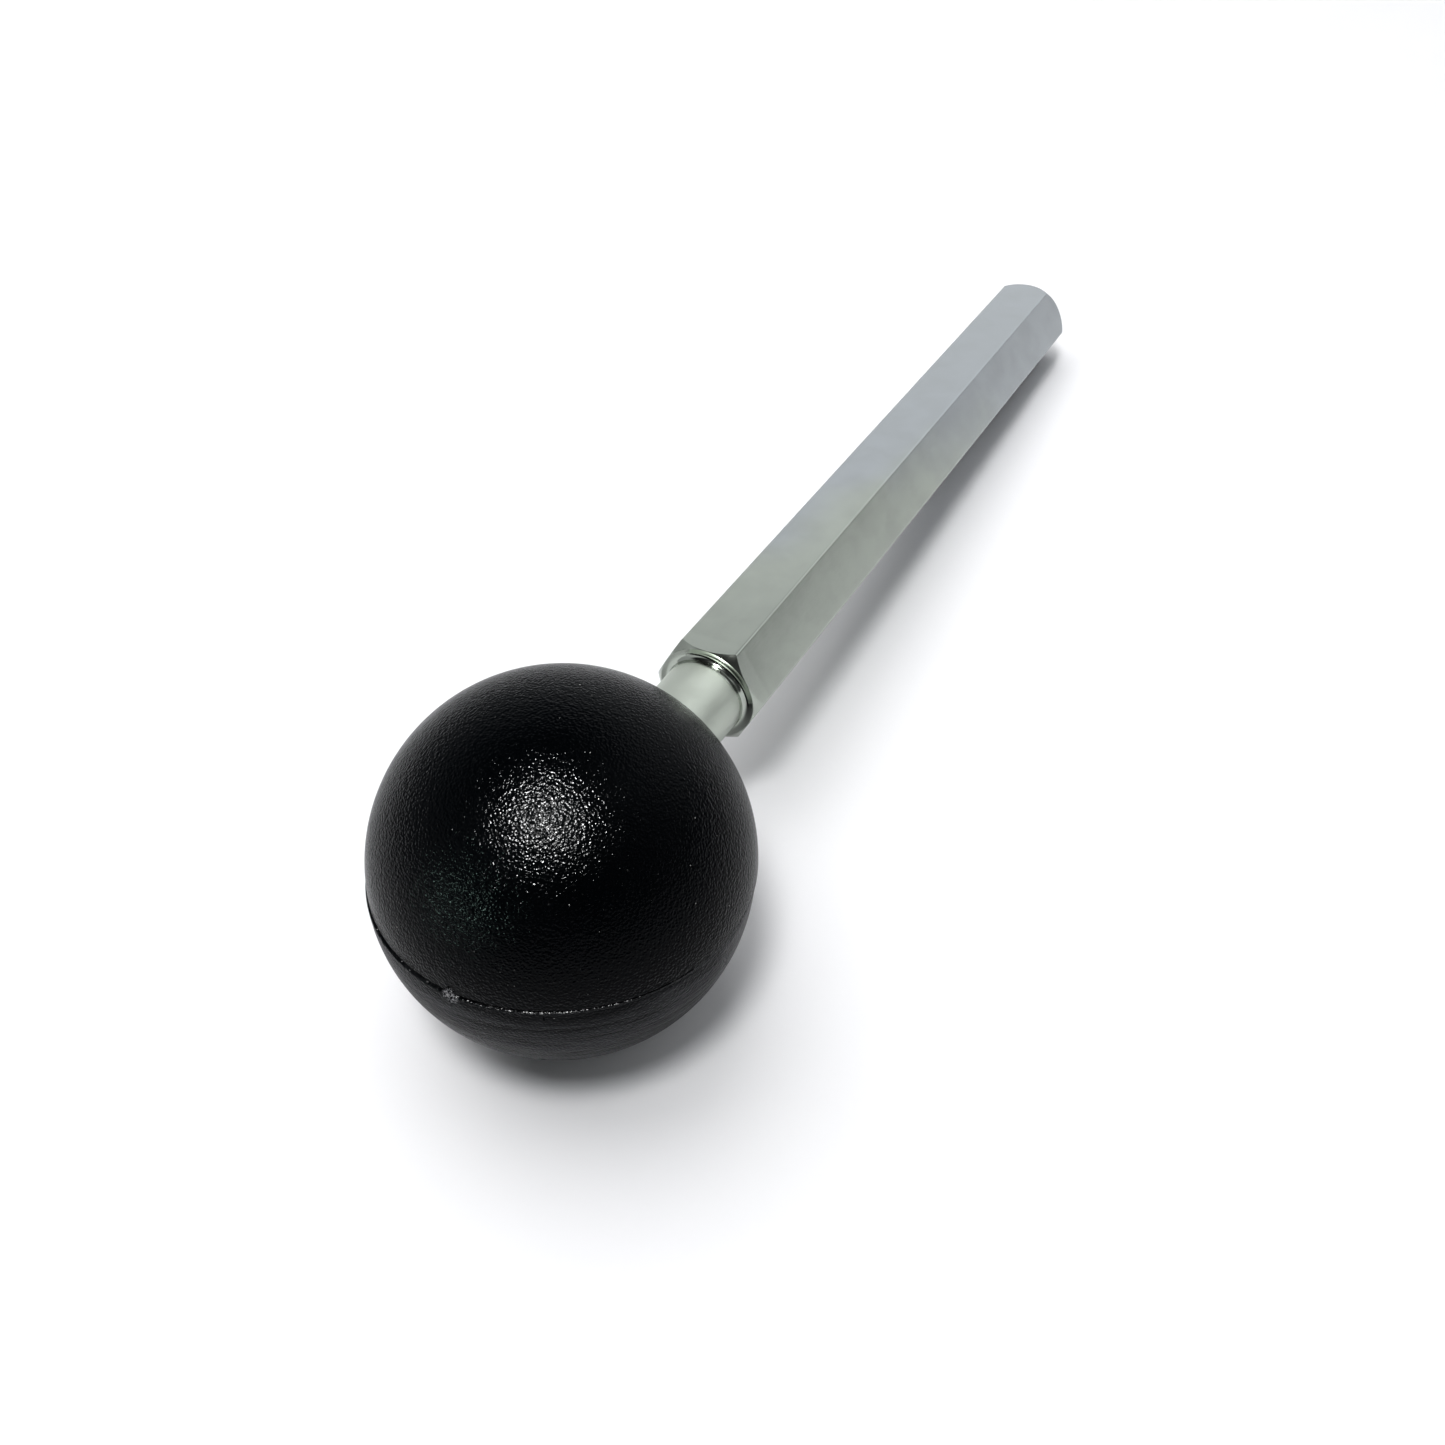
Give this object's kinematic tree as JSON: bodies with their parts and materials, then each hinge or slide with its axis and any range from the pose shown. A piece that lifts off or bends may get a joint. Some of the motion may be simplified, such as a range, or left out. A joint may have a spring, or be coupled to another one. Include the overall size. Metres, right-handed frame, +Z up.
{
  "type": "rubber ball mallet",
  "caption": "Small striking mallet: a solid black rubber ball moulded round a steel insert, on a slim plated hexagonal steel bar with a turned neck and a rounded tip.",
  "frame": {"origin": "on the surface that the mallet lies on, at the centre of the mallet's bounding box seen from above", "axes": "+Z up from that surface; +Y from the ball towards the tip of the handle, level; the handle's own axis slopes down by 5.72 degrees towards the tip, because the ball and the tip both touch the surface; +X to the right seen from the ball"},
  "size_m": [0.05, 0.2042, 0.05],
  "materials": {
    "black_rubber": "matte",
    "insert_steel": "satin",
    "plated_steel": "satin"
  },
  "bodies": {
    "root": {"rubber_ball": "black_rubber", "ball_insert": "insert_steel", "hex_handle": "plated_steel"}
  },
  "joints": []
}
